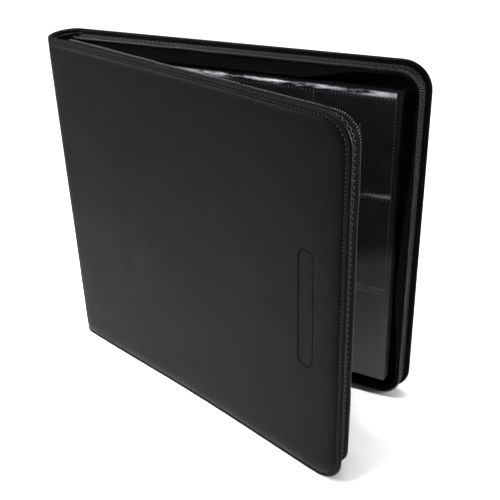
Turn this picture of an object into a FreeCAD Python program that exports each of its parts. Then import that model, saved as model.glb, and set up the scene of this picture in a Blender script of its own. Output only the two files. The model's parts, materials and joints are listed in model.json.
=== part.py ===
"""Zip-round card album: two padded covers on a rounded spine, with pocket leaves and an edge zip.

Frame: +Z up along the spine, +X from the spine towards the fore-edges, +Y towards the back cover.
The origin lies on the ground, in the middle of the album's footprint. Lengths are millimetres.
Every piece of a cover is drawn in that cover's own frame: x runs from the fold to the fore-edge,
z is zero at mid-height, and depth runs from the outer face inwards, with zero at mid-thickness.
"""
import FreeCAD, Part
import math
import os
import Sketcher

from FreeCAD import Placement, Rotation, Vector

DIMENSIONS = [
    ("cover_width", 350.0, "fold axis to fore-edge"),
    ("cover_height", 338.0, "bottom edge to top edge"),
    ("cover_thick", 6.0, "outer leather face to lining face"),
    ("corner_radius", 26.0, "the two fore-edge corners"),
    ("opening_angle", 9.0, "degrees between each cover and the middle plane"),
    ("fold_spacing", 38.0, "between the two cover folds"),
    ("fold_gap", 4.5, "fold axis to the stiff root of a cover"),
    ("skin_thick", 1.2, "leatherette, and the rim it makes round a cover"),
    ("foam_thick", 2.2, "cover padding"),
    ("board_thick", 1.85, "cover board"),
    ("lining_thick", 0.6, "cover and spine lining"),
    ("layer_gap", 0.05, "between neighbouring layers"),
    ("edge_round", 2.0, "rounding of a cover's outer edge"),
    ("spine_radius", 27.0, "outer face of the spine"),
    ("spine_depth", 9.0, "how far the spine bulges behind the fold axes"),
    ("spine_half_width", 17.0, "middle plane to the end of the spine's outer face"),
    ("spine_foam_thick", 1.2, "spine padding"),
    ("spine_board_thick", 1.5, "flexible spine board"),
    ("spine_turn_in", 1.5, "skin beyond the inner layers at each end"),
    ("binding_width", 29.2, "across the bundle of leaf tabs"),
    ("binding_front", 5.7, "front of the leaf tabs, ahead of the fold axes"),
    ("leaf_axis", 6.0, "where the leaves flex, ahead of the fold axes"),
    ("leaf_free_root", 6.0, "flexible stretch of a leaf before its stiff part"),
    ("leaf_length", 326.0, "leaf axis to the leaf's fore-edge"),
    ("leaf_height", 293.5, "three pocket rows and their welds"),
    ("leaf_thick", 0.45, "core sheet and two pocket films"),
    ("leaf_corner", 3.0, "leaf corner radius"),
    ("leaf_pitch", 1.45, "between neighbouring leaves at the binding"),
    ("leaf_count_front", 16, "leaves that follow the front cover"),
    ("leaf_count_back", 4, "leaves that follow the back cover"),
    ("front_follow_inner", 0.72, "share of the front cover's turn, innermost leaf"),
    ("front_follow_outer", 0.80, "share of the front cover's turn, outermost leaf"),
    ("back_follow_inner", 0.80, "share of the back cover's turn, innermost leaf"),
    ("back_follow_outer", 0.89, "share of the back cover's turn, outermost leaf"),
    ("zip_inset", 5.45, "cover edge to the middle of the tape"),
    ("zip_start", 10.0, "fold axis to the end of the coil"),
    ("tape_start", 7.0, "fold axis to the end of the tape"),
    ("tape_thick", 0.9, "woven tape"),
    ("tape_width", 12.85, "lining to the tape's free edge"),
    ("coil_width", 2.4, "coil section, both ways"),
    ("coil_gap", 0.1, "tape edge to coil"),
    ("guard_depth", 12.2, "mid-thickness of the cover to the zip guard"),
    ("guard_thick", 0.8, "folded guard fabric"),
    ("guard_width", 15.0, "guard flap from the tape inwards, top and bottom"),
    ("guard_fore_width", 10.5, "guard flap from the tape inwards, fore-edge"),
    ("guard_corner", 4.0, "inner corners of the guard flap"),
    ("slider_start", 12.0, "fold axis to the parked slider"),
    ("slider_length", 12.0, "along the zip"),
    ("slider_width", 11.0, "across both coils"),
    ("slider_wall", 1.0, "slider plates"),
    ("slider_gap", 0.15, "coil to slider plate"),
    ("slider_web", 0.8, "post between the two coils"),
    ("slider_web_length", 5.0, "along the zip"),
    ("flange_reach", 0.65, "slider plate to flange edge"),
    ("pin_reach", 2.5, "slider end to pull pin"),
    ("pin_radius", 0.5, "pull pin"),
    ("pin_drop", 3.25, "middle of the tape to the pull pin"),
    ("cheek_wall", 1.0, "each of the two ears that carry the pin"),
    ("cheek_length", 4.0, "ear, along the zip"),
    ("pull_thick", 1.0, "pull tab"),
    ("pull_neck", 4.4, "pull tab between the ears"),
    ("pull_width", 7.0, "pull tab, finger end"),
    ("pull_length", 22.0, "pin to the tab's tip"),
    ("pull_shoulder", 4.5, "pin to the wide part of the tab"),
    ("knuckle_radius", 1.1, "rolled end of the tab, round the pin"),
    ("knuckle_gap", 0.1, "pin to the rolled end"),
    ("stop_length", 2.3, "end stop, along the zip"),
    ("stop_grip", 1.1, "end stop, over the tape"),
]
SHEET = "Dimensions"
OPEN_END_OVERRUN = 5.0  # a band's inner cut runs this far past its open end

doc = FreeCAD.newDocument("card_album")
sheet = doc.addObject("Spreadsheet::Sheet", SHEET)
parts = []


class Size:
    """A length with its number and the sheet expression that it is bound to."""

    def __init__(self, value, text):
        self.value = value
        self.text = text

    def combine(self, sign, other, value):
        text = other.text if isinstance(other, Size) else str(other)
        return Size(value, f"({self.text} {sign} {text})")

    def __add__(self, other):
        return self.combine("+", other, self.value + number(other))

    def __sub__(self, other):
        return self.combine("-", other, self.value - number(other))

    def __mul__(self, other):
        return self.combine("*", other, self.value * number(other))

    def __truediv__(self, other):
        return self.combine("/", other, self.value / number(other))

    def __neg__(self):
        return self * -1


def number(amount):
    return amount.value if isinstance(amount, Size) else float(amount)


def fill_sheet():
    """Write every driving dimension and give its cell an alias."""
    sizes = {}
    for row, (alias, value, note) in enumerate(DIMENSIONS, start=1):
        sheet.set(f"A{row}", alias)
        sheet.set(f"B{row}", str(value))
        sheet.set(f"C{row}", note)
        sheet.setAlias(f"B{row}", alias)
        sizes[alias] = Size(float(value), f"{SHEET}.{alias}")
    doc.recompute()
    return sizes


size = fill_sheet()
NOTHING = size["layer_gap"] * 0
HALF_HEIGHT = size["cover_height"] / 2
HALF_THICK = size["cover_thick"] / 2
MID_DEPTH = size["fold_spacing"] / 2
SPINE_CENTRE = size["spine_radius"] - size["spine_depth"]
TAPE_DEPTH = HALF_THICK + size["layer_gap"]
COIL_DEPTH = TAPE_DEPTH + size["tape_width"] + size["coil_gap"]


def bind(target, prop, amount):
    """Set a property and tie it to the sheet."""
    setattr(target, prop, amount.value)
    target.setExpression(prop, amount.text)


def footprint_shift():
    """Distance from the fold axes back to the middle of the album's footprint."""
    angle = math.radians(size["opening_angle"].value)
    reach = size["cover_width"].value * math.cos(angle) + HALF_THICK.value * math.sin(angle)
    return (size["spine_depth"].value - reach) / 2


FOLD_X = footprint_shift()
MID_HEIGHT = HALF_HEIGHT.value


def spine_placement():
    return Placement(Vector(FOLD_X, 0, MID_HEIGHT), Rotation())


def cover_placement(side):
    """side is +1 for the back cover and -1 for the front cover, which is the back one turned over."""
    angle = side * size["opening_angle"].value
    turn = Rotation(Vector(0, 0, 1), angle)
    if side < 0:
        turn = turn * Rotation(Vector(1, 0, 0), 180)
    return Placement(Vector(FOLD_X, side * MID_DEPTH.value, MID_HEIGHT), turn)


def stack_size(side):
    """Leaves that follow the cover on that side."""
    name = "back" if side > 0 else "front"
    return int(size[f"leaf_count_{name}"].value)


def leaf_follow(side, index):
    """Share of its cover's turn that a leaf makes; index 0 is the innermost of its stack."""
    name = "back" if side > 0 else "front"
    inner = size[f"{name}_follow_inner"].value
    outer = size[f"{name}_follow_outer"].value
    return inner + (outer - inner) * index / (stack_size(side) - 1)


def leaf_placement(side, index):
    split = (stack_size(-1) - stack_size(1)) / 2
    across = (split + side * (index + 0.5)) * size["leaf_pitch"].value
    angle = side * size["opening_angle"].value * leaf_follow(side, index)
    base = Vector(FOLD_X + size["leaf_axis"].value, across, MID_HEIGHT)
    return Placement(base, Rotation(Vector(0, 0, 1), angle))


def finish(piece, label, placement):
    """Name a finished piece, put it in its place and list it for export."""
    piece.Label = label
    piece.Placement = placement
    parts.append(piece)
    return piece


def origin_plane(body, role):
    for feature in body.Origin.OriginFeatures:
        if feature.Role == role:
            return feature
    raise RuntimeError(f"{body.Label} has no {role}")


def new_sketch(body, name, role, offset):
    sketch = body.newObject("Sketcher::SketchObject", name)
    sketch.AttachmentSupport = [(origin_plane(body, role), "")]
    sketch.MapMode = "FlatFace"
    sketch.AttachmentOffset = Placement(Vector(0, 0, offset.value), Rotation())
    sketch.setExpression("AttachmentOffset.Base.z", offset.text)
    return sketch


def dimension(sketch, name, constraint, amount):
    """Add a sized constraint and tie it to the sheet."""
    index = sketch.addConstraint(constraint)
    sketch.renameConstraint(index, name)
    sketch.setExpression(f"Constraints.{name}", amount.text)


def draw_plate(sketch, start, end, half_height, radius):
    """Closed outline, square at the fold side and rounded at the two fore-edge corners."""
    x0 = start.value
    x1 = end.value
    top = half_height.value
    bend = radius.value
    quarter = math.pi / 2
    low_centre = Vector(x1 - bend, bend - top, 0)
    high_centre = Vector(x1 - bend, top - bend, 0)
    up = Vector(0, 0, 1)
    sketch.addGeometry([
        Part.LineSegment(Vector(x0, -top, 0), Vector(x1 - bend, -top, 0)),
        Part.ArcOfCircle(Part.Circle(low_centre, up, bend), -quarter, 0),
        Part.LineSegment(Vector(x1, bend - top, 0), Vector(x1, top - bend, 0)),
        Part.ArcOfCircle(Part.Circle(high_centre, up, bend), 0, quarter),
        Part.LineSegment(Vector(x1 - bend, top, 0), Vector(x0, top, 0)),
        Part.LineSegment(Vector(x0, top, 0), Vector(x0, -top, 0)),
    ])
    bottom, low_arc, edge, high_arc, ceiling, root = range(6)
    for first, first_end, second, second_end in (
            (bottom, 2, low_arc, 1), (low_arc, 2, edge, 1), (edge, 2, high_arc, 1),
            (high_arc, 2, ceiling, 1)):
        sketch.addConstraint(Sketcher.Constraint("Tangent", first, first_end, second, second_end))
    for first, second in ((ceiling, root), (root, bottom)):
        sketch.addConstraint(Sketcher.Constraint("Coincident", first, 2, second, 1))
    for line in (bottom, ceiling):
        sketch.addConstraint(Sketcher.Constraint("Horizontal", line))
    sketch.addConstraint(Sketcher.Constraint("Vertical", root))
    sketch.addConstraint(Sketcher.Constraint("Equal", low_arc, high_arc))
    dimension(sketch, "bend", Sketcher.Constraint("Radius", low_arc, bend), radius)
    dimension(sketch, "fold_side", Sketcher.Constraint("DistanceX", -1, 1, bottom, 1, x0), start)
    dimension(sketch, "fore_edge", Sketcher.Constraint("DistanceX", -1, 1, edge, 1, x1), end)
    dimension(sketch, "above", Sketcher.Constraint("DistanceY", -1, 1, ceiling, 1, top), half_height)
    dimension(sketch, "below", Sketcher.Constraint("DistanceY", bottom, 1, -1, 1, top), half_height)


def plate_outline(inset, start):
    """Sizes of a cover outline moved in from the cover's edge by inset."""
    return (start, size["cover_width"] - inset, HALF_HEIGHT - inset, size["corner_radius"] - inset)


def add_pad(body, name, depth, thick, outline):
    sketch = new_sketch(body, f"{name}_outline", "XZ_Plane", depth)
    draw_plate(sketch, *outline)
    pad = body.newObject("PartDesign::Pad", f"{name}_pad")
    pad.Profile = sketch
    bind(pad, "Length", thick)
    return pad


def add_pocket(body, name, mouth_depth, cut, outline):
    """Cut from mouth_depth back towards the outer face."""
    sketch = new_sketch(body, f"{name}_mouth", "XZ_Plane", mouth_depth)
    draw_plate(sketch, *outline)
    pocket = body.newObject("PartDesign::Pocket", f"{name}_pocket")
    pocket.Profile = sketch
    bind(pocket, "Length", cut)
    doc.recompute()
    return pocket


def make_plate(label, depth, thick, outline, placement):
    """Flat layer of a cover, or a leaf."""
    body = doc.addObject("PartDesign::Body", label)
    add_pad(body, label, depth, thick, outline)
    return finish(body, label, placement)


def make_band(label, side, depth, thick, inset, width, start):
    """Band that runs round a cover's three free edges, open towards the fold."""
    body = doc.addObject("PartDesign::Body", label)
    add_pad(body, label, depth, thick, plate_outline(inset, start))
    mouth = plate_outline(inset + width, start - OPEN_END_OVERRUN)
    add_pocket(body, label, depth + thick, thick, mouth)
    return finish(body, label, cover_placement(side))


def outer_edges(shape, face_y, root_x):
    """Names of the edges round a cover's outer face, without the one at the fold."""
    names = []
    for index, edge in enumerate(shape.Edges, start=1):
        box = edge.BoundBox
        on_face = abs(box.YMin - face_y) < 1e-6 and abs(box.YMax - face_y) < 1e-6
        at_root = abs(box.XMax - root_x) < 1e-6
        if on_face and not at_root:
            names.append(f"Edge{index}")
    return names


def make_cover_skin(name, side):
    """Leatherette tray: an outer face with a rim that hides the edges of the layers inside."""
    label = f"{name}_cover_skin"
    body = doc.addObject("PartDesign::Body", label)
    start = size["fold_gap"]
    pad = add_pad(body, label, -HALF_THICK, size["cover_thick"], plate_outline(NOTHING, start))
    doc.recompute()
    soft_edge = body.newObject("PartDesign::Fillet", f"{label}_edge")
    soft_edge.Base = (pad, outer_edges(pad.Shape, HALF_THICK.value, start.value))
    bind(soft_edge, "Radius", size["edge_round"])
    doc.recompute()
    rim = size["skin_thick"]
    add_pocket(body, label, HALF_THICK, size["cover_thick"] - rim, plate_outline(rim, start + rim))
    return finish(body, label, cover_placement(side))


def make_cover_layers(name, side):
    """Foam, board and lining, each inside the skin's rim."""
    gap = size["layer_gap"]
    inset = size["skin_thick"] + gap
    start = size["fold_gap"] + inset
    outline = plate_outline(inset, start)
    depth = size["skin_thick"] - HALF_THICK + gap
    for layer in ("foam", "board", "lining"):
        thick = size[f"{layer}_thick"]
        make_plate(f"{name}_cover_{layer}", depth, thick, outline, cover_placement(side))
        depth = depth + thick + gap


def make_zip_half(name, side):
    """Tape that stands on the lining round the edge, with the coil along its free edge."""
    tape_inset = size["zip_inset"] - size["tape_thick"] / 2
    coil_inset = size["zip_inset"] - size["coil_width"] / 2
    make_band(f"{name}_zip_tape", side, TAPE_DEPTH, size["tape_width"], tape_inset,
              size["tape_thick"], size["tape_start"])
    make_band(f"{name}_zip_coil", side, COIL_DEPTH, size["coil_width"], coil_inset,
              size["coil_width"], size["zip_start"])


def make_cover(name, side):
    make_cover_skin(name, side)
    make_cover_layers(name, side)
    make_zip_half(name, side)


def make_zip_guard():
    """Fabric flap inside the back half of the zip, parallel to the cover, narrow at the fore-edge."""
    label = "back_zip_guard"
    body = doc.addObject("PartDesign::Body", label)
    inset = size["zip_inset"] + size["tape_thick"] / 2 + size["layer_gap"]
    thick = size["guard_thick"]
    start = size["zip_start"]
    fore_edge = size["cover_width"] - inset - size["guard_fore_width"]
    half_mouth = HALF_HEIGHT - inset - size["guard_width"]
    add_pad(body, label, size["guard_depth"], thick, plate_outline(inset, start))
    add_pocket(body, label, size["guard_depth"] + thick, thick,
               (start - OPEN_END_OVERRUN, fore_edge, half_mouth, size["guard_corner"]))
    return finish(body, label, cover_placement(1))


def new_block(name, low, high):
    """Part::Box between two corners; each corner is three sizes: x, depth and z."""
    block = doc.addObject("Part::Box", name)
    bind(block, "Length", high[0] - low[0])
    bind(block, "Width", high[1] - low[1])
    bind(block, "Height", high[2] - low[2])
    block.Placement = Placement(Vector(low[0].value, -high[1].value, low[2].value), Rotation())
    block.setExpression("Placement.Base.x", low[0].text)
    block.setExpression("Placement.Base.y", (-high[1]).text)
    block.setExpression("Placement.Base.z", low[2].text)
    return block


def join(label, blocks):
    union = doc.addObject("Part::MultiFuse", label)
    union.Shapes = blocks
    union.Refine = True
    return union


def zip_floor(drop):
    """Height of a line below the middle of the tape, on the straight bottom run of the zip."""
    return size["zip_inset"] - HALF_HEIGHT - drop


def make_end_stops():
    """Metal clips beyond the coil's two ends, folded over the tape of the back half."""
    half = size["coil_width"] / 2 + size["tape_thick"] / 2
    slot = size["tape_thick"] / 2 + size["layer_gap"]
    end = size["zip_start"] - size["layer_gap"] * 4
    start = end - size["stop_length"]
    grip = COIL_DEPTH - size["stop_grip"]
    rim = COIL_DEPTH + size["coil_width"]
    for name, middle in (("top", -zip_floor(NOTHING)), ("bottom", zip_floor(NOTHING))):
        blocks = [
            new_block(f"{name}_stop_bridge", (start, COIL_DEPTH, middle - half),
                      (end, rim, middle + half)),
            new_block(f"{name}_stop_low", (start, grip, middle - half), (end, rim, middle - slot)),
            new_block(f"{name}_stop_high", (start, grip, middle + slot), (end, rim, middle + half)),
        ]
        label = f"zip_{name}_stop"
        finish(join(label, blocks), label, cover_placement(1))


def slider_end():
    return size["slider_start"] + size["slider_length"]


def make_slider():
    """Two plates joined by a web between the coils, with two ears for the pull.

    Only the back half's side has flanges, so that the front coil can swing out of the mouth.
    """
    start = size["slider_start"]
    end = slider_end()
    middle = MID_DEPTH
    half_width = size["slider_width"] / 2
    inner = size["coil_width"] / 2 + size["slider_gap"]
    outer = inner + size["slider_wall"]
    flange = inner - size["flange_reach"]
    near = middle - half_width
    far = middle + half_width
    blocks = []
    for name, low_drop, high_drop in (("outer", outer, inner), ("inner", -inner, -outer)):
        blocks.append(new_block(f"slider_{name}_plate", (start, near, zip_floor(low_drop)),
                                (end, far, zip_floor(high_drop))))
    for name, low_drop, high_drop in (("outer", outer, flange), ("inner", -flange, -outer)):
        blocks.append(new_block(f"slider_{name}_flange", (start, near, zip_floor(low_drop)),
                                (end, near + size["slider_wall"], zip_floor(high_drop))))
    half_web = size["slider_web"] / 2
    blocks.append(new_block("slider_web", (end - size["slider_web_length"], middle - half_web,
                                           zip_floor(outer)),
                            (end, middle + half_web, zip_floor(-outer))))
    ear_gap = size["pull_neck"] / 2 + size["slider_gap"]
    ear_end = pin_x() + size["pin_radius"] * 2
    ear_start = ear_end - size["cheek_length"]
    ear_low = zip_floor(size["pin_drop"] + size["pin_radius"] * 2)
    for name, low_depth in (("near", middle - ear_gap - size["cheek_wall"]),
                            ("far", middle + ear_gap)):
        blocks.append(new_block(f"slider_{name}_ear", (ear_start, low_depth, ear_low),
                                (ear_end, low_depth + size["cheek_wall"], zip_floor(inner))))
    finish(join("zip_slider", blocks), "zip_slider", cover_placement(1))


def pin_x():
    return slider_end() + size["pin_reach"]


def new_rod(name, radius, length):
    """Cylinder along the pull's hinge axis, midway between the ears."""
    rod = doc.addObject("Part::Cylinder", name)
    bind(rod, "Radius", radius)
    bind(rod, "Height", length)
    base = Vector(pin_x().value, -(MID_DEPTH + length / 2).value, zip_floor(size["pin_drop"]).value)
    rod.Placement = Placement(base, Rotation(Vector(1, 0, 0), -90))
    return rod


def make_pull_pin():
    """Round pin through the two ears; its ends are pressed into them."""
    length = size["pull_neck"] + size["cheek_wall"] * 2 + size["slider_gap"] * 2
    pin = new_rod("zip_pull_pin", size["pin_radius"], length)
    finish(pin, "zip_pull_pin", cover_placement(1).multiply(pin.Placement))


def make_pull():
    """Tab rolled round the pin at one end, narrow between the ears and wide for the fingers."""
    half = size["pull_thick"] / 2
    low_z = zip_floor(size["pin_drop"] + half)
    high_z = zip_floor(size["pin_drop"] - half)
    axis = pin_x()
    neck = size["pull_neck"] / 2
    wide = size["pull_width"] / 2
    neck_block = new_block("pull_neck", (axis, MID_DEPTH - neck, low_z),
                           (axis + size["pull_shoulder"], MID_DEPTH + neck, high_z))
    tab_block = new_block("pull_tab", (axis + size["pull_shoulder"], MID_DEPTH - wide, low_z),
                          (axis + size["pull_length"], MID_DEPTH + wide, high_z))
    knuckle = new_rod("pull_knuckle", size["knuckle_radius"], size["pull_neck"])
    pull = doc.addObject("Part::Cut", "zip_pull")
    pull.Base = join("pull_plate", [knuckle, neck_block, tab_block])
    pull.Tool = new_rod("pull_bore", size["pin_radius"] + size["knuckle_gap"], size["pull_neck"])
    finish(pull, "zip_pull", cover_placement(1))


def draw_arc_band(sketch, outer, inner):
    """Band of a ring round the spine's centre, closed by two radial ends."""
    reach = size["spine_half_width"] * outer / size["spine_radius"]
    half = math.asin(reach.value / outer.value)
    centre = Vector(SPINE_CENTRE.value, 0, 0)
    up = Vector(0, 0, 1)

    def point(radius, angle):
        return centre + Vector(-radius.value * math.cos(angle), radius.value * math.sin(angle), 0)

    sketch.addGeometry([
        Part.ArcOfCircle(Part.Circle(centre, up, outer.value), math.pi - half, math.pi + half),
        Part.LineSegment(point(outer, -half), point(inner, -half)),
        Part.ArcOfCircle(Part.Circle(centre, up, inner.value), math.pi - half, math.pi + half),
        Part.LineSegment(point(inner, half), point(outer, half)),
    ])
    outer_arc, low_end, inner_arc, high_end = range(4)
    for first, first_end, second, second_end in (
            (outer_arc, 2, low_end, 1), (low_end, 2, inner_arc, 2), (inner_arc, 1, high_end, 1),
            (high_end, 2, outer_arc, 1)):
        sketch.addConstraint(Sketcher.Constraint("Coincident", first, first_end, second, second_end))
    sketch.addConstraint(Sketcher.Constraint("Coincident", outer_arc, 3, inner_arc, 3))
    sketch.addConstraint(Sketcher.Constraint("Symmetric", low_end, 1, high_end, 2, -1))
    sketch.addConstraint(Sketcher.Constraint("PointOnObject", outer_arc, 3, low_end))
    sketch.addConstraint(Sketcher.Constraint("PointOnObject", outer_arc, 3, high_end))
    dimension(sketch, "outside", Sketcher.Constraint("Radius", outer_arc, outer.value), outer)
    dimension(sketch, "inside", Sketcher.Constraint("Radius", inner_arc, inner.value), inner)
    dimension(sketch, "middle", Sketcher.Constraint("DistanceX", -1, 1, outer_arc, 3, centre.x),
              SPINE_CENTRE)
    dimension(sketch, "end", Sketcher.Constraint("DistanceY", -1, 1, high_end, 2, reach.value), reach)


def make_spine_layer(label, outer, thick, turn_in):
    body = doc.addObject("PartDesign::Body", label)
    sketch = new_sketch(body, f"{label}_section", "XY_Plane", turn_in - HALF_HEIGHT)
    draw_arc_band(sketch, outer, outer - thick)
    pad = body.newObject("PartDesign::Pad", f"{label}_pad")
    pad.Profile = sketch
    bind(pad, "Length", size["cover_height"] - turn_in * 2)
    return finish(body, label, spine_placement())


def make_spine():
    """Skin, foam, board and lining, each bent to the same centre. Returns the room left inside."""
    gap = size["layer_gap"]
    radius = size["spine_radius"]
    layers = (("skin", size["skin_thick"], NOTHING),
              ("foam", size["spine_foam_thick"], size["spine_turn_in"]),
              ("board", size["spine_board_thick"], size["spine_turn_in"]),
              ("lining", size["lining_thick"], size["spine_turn_in"]))
    for name, thick, turn_in in layers:
        make_spine_layer(f"spine_{name}", radius, thick, turn_in)
        radius = radius - thick - gap
    return radius


def make_binding(room):
    """Bundle of leaf tabs, rounded at the back to sit in the spine."""
    half = size["binding_width"] / 2
    tall = size["leaf_height"] / 2
    block = new_block("binding_block", (SPINE_CENTRE - room, -half, -tall),
                      (size["binding_front"], half, tall))
    bore = doc.addObject("Part::Cylinder", "binding_round")
    bind(bore, "Radius", room)
    bind(bore, "Height", size["leaf_height"])
    bore.Placement = Placement(Vector(SPINE_CENTRE.value, 0, -tall.value), Rotation())
    binding = doc.addObject("Part::Common", "page_binding")
    binding.Base = block
    binding.Tool = bore
    finish(binding, "page_binding", spine_placement())


def make_leaves():
    """Pocket leaves in two stacks, each fanned out towards its cover."""
    half = size["leaf_thick"] / 2
    outline = (size["leaf_free_root"], size["leaf_length"], size["leaf_height"] / 2,
               size["leaf_corner"])
    for name, side in (("front", -1), ("back", 1)):
        for index in range(stack_size(side)):
            label = f"{name}_leaf_{index + 1:02d}"
            make_plate(label, -half, size["leaf_thick"], outline, leaf_placement(side, index))


def check_and_export():
    """Stop on any failed object, then write one file for each piece."""
    doc.recompute()
    for item in doc.Objects:
        if "Invalid" in item.State or "Error" in item.State:
            raise RuntimeError(f"{item.Label} failed: {item.State}")
    os.makedirs("parts", exist_ok=True)
    for piece in parts:
        if piece.Shape.isNull() or not piece.Shape.isValid() or piece.Shape.Volume <= 0:
            raise RuntimeError(f"{piece.Label} has no valid solid")
        piece.Shape.exportStep(f"parts/{piece.Label}.step")
        print(f"{piece.Label}: {piece.Shape.Volume:.1f} mm3, {len(piece.Shape.Solids)} solid")


make_cover("front", -1)
make_cover("back", 1)
make_zip_guard()
make_end_stops()
make_slider()
make_pull_pin()
make_pull()
make_binding(make_spine())
make_leaves()
check_and_export()
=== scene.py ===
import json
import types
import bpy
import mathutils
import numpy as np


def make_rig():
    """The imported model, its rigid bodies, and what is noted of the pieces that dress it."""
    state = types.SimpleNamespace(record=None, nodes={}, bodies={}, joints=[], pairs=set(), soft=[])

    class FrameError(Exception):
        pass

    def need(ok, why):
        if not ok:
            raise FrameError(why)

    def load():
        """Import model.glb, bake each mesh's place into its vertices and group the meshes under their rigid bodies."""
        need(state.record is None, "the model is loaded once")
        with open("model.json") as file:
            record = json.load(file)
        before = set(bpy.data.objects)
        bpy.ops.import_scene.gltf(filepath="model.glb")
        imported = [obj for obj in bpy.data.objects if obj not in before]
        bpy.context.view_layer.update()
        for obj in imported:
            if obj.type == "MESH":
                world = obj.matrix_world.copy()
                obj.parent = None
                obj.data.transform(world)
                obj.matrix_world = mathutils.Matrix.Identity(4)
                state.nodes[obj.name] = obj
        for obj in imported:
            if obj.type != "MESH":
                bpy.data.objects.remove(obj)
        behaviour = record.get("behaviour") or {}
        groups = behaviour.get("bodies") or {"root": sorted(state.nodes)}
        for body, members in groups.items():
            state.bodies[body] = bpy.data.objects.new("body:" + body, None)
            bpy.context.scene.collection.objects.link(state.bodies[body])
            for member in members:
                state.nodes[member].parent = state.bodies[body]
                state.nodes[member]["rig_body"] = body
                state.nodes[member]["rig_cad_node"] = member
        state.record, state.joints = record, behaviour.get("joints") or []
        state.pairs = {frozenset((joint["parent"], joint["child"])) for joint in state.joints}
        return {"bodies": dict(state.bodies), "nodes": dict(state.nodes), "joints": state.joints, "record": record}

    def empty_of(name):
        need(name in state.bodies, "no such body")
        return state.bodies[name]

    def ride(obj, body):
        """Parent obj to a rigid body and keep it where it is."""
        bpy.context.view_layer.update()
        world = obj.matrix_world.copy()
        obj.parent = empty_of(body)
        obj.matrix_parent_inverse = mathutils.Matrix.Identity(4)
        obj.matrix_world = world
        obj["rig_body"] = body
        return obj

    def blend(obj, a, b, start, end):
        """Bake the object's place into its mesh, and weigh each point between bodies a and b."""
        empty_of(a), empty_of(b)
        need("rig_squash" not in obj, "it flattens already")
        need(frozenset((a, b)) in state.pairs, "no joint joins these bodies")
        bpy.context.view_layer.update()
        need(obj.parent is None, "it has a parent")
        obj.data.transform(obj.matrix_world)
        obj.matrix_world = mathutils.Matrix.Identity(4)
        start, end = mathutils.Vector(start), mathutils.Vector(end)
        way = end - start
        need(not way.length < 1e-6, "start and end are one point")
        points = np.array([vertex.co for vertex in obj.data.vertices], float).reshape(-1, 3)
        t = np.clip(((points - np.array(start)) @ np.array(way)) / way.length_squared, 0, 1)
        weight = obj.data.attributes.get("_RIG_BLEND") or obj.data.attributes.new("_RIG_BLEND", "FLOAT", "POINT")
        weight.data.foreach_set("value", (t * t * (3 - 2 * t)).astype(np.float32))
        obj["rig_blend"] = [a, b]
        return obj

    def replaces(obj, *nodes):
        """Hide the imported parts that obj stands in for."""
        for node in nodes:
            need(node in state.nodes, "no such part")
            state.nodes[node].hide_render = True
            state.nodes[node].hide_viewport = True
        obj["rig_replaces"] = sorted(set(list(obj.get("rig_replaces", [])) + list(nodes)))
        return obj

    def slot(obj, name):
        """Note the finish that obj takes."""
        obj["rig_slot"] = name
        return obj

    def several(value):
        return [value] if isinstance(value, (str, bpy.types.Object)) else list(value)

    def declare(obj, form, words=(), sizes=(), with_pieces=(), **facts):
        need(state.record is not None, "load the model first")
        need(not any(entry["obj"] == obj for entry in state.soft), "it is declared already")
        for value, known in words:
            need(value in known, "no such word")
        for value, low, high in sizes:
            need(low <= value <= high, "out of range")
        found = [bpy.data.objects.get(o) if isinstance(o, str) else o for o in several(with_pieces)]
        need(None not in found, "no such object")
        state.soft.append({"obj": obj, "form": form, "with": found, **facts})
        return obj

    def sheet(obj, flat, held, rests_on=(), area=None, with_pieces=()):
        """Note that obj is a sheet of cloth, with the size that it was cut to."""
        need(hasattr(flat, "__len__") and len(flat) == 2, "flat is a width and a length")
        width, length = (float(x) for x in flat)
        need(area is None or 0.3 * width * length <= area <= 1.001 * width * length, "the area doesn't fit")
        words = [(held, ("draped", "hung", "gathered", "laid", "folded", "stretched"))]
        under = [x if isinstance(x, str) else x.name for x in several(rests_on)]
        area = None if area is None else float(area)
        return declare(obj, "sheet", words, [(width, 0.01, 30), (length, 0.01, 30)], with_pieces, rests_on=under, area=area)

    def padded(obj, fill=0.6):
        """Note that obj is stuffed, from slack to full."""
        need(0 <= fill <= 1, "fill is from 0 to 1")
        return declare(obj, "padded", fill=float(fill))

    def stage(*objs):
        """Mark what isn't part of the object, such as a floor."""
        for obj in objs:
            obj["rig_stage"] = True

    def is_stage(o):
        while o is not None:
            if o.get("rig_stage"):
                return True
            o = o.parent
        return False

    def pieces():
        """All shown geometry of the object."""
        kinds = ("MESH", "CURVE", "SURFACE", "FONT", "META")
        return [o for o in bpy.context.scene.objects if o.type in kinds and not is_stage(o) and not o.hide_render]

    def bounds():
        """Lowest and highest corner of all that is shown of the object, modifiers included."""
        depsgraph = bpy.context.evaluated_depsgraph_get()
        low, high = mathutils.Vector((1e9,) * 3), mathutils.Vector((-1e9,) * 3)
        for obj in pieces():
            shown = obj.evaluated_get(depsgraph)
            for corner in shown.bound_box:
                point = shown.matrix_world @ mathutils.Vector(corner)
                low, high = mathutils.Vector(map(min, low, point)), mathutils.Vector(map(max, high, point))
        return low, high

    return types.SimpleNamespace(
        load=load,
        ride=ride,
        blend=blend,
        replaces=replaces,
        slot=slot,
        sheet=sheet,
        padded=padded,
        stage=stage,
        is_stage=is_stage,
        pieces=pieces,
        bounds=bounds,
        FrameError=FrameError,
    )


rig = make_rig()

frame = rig.load()

import json
import math
import bpy
from mathutils import Matrix, Vector, noise

CAD_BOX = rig.bounds()

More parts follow.
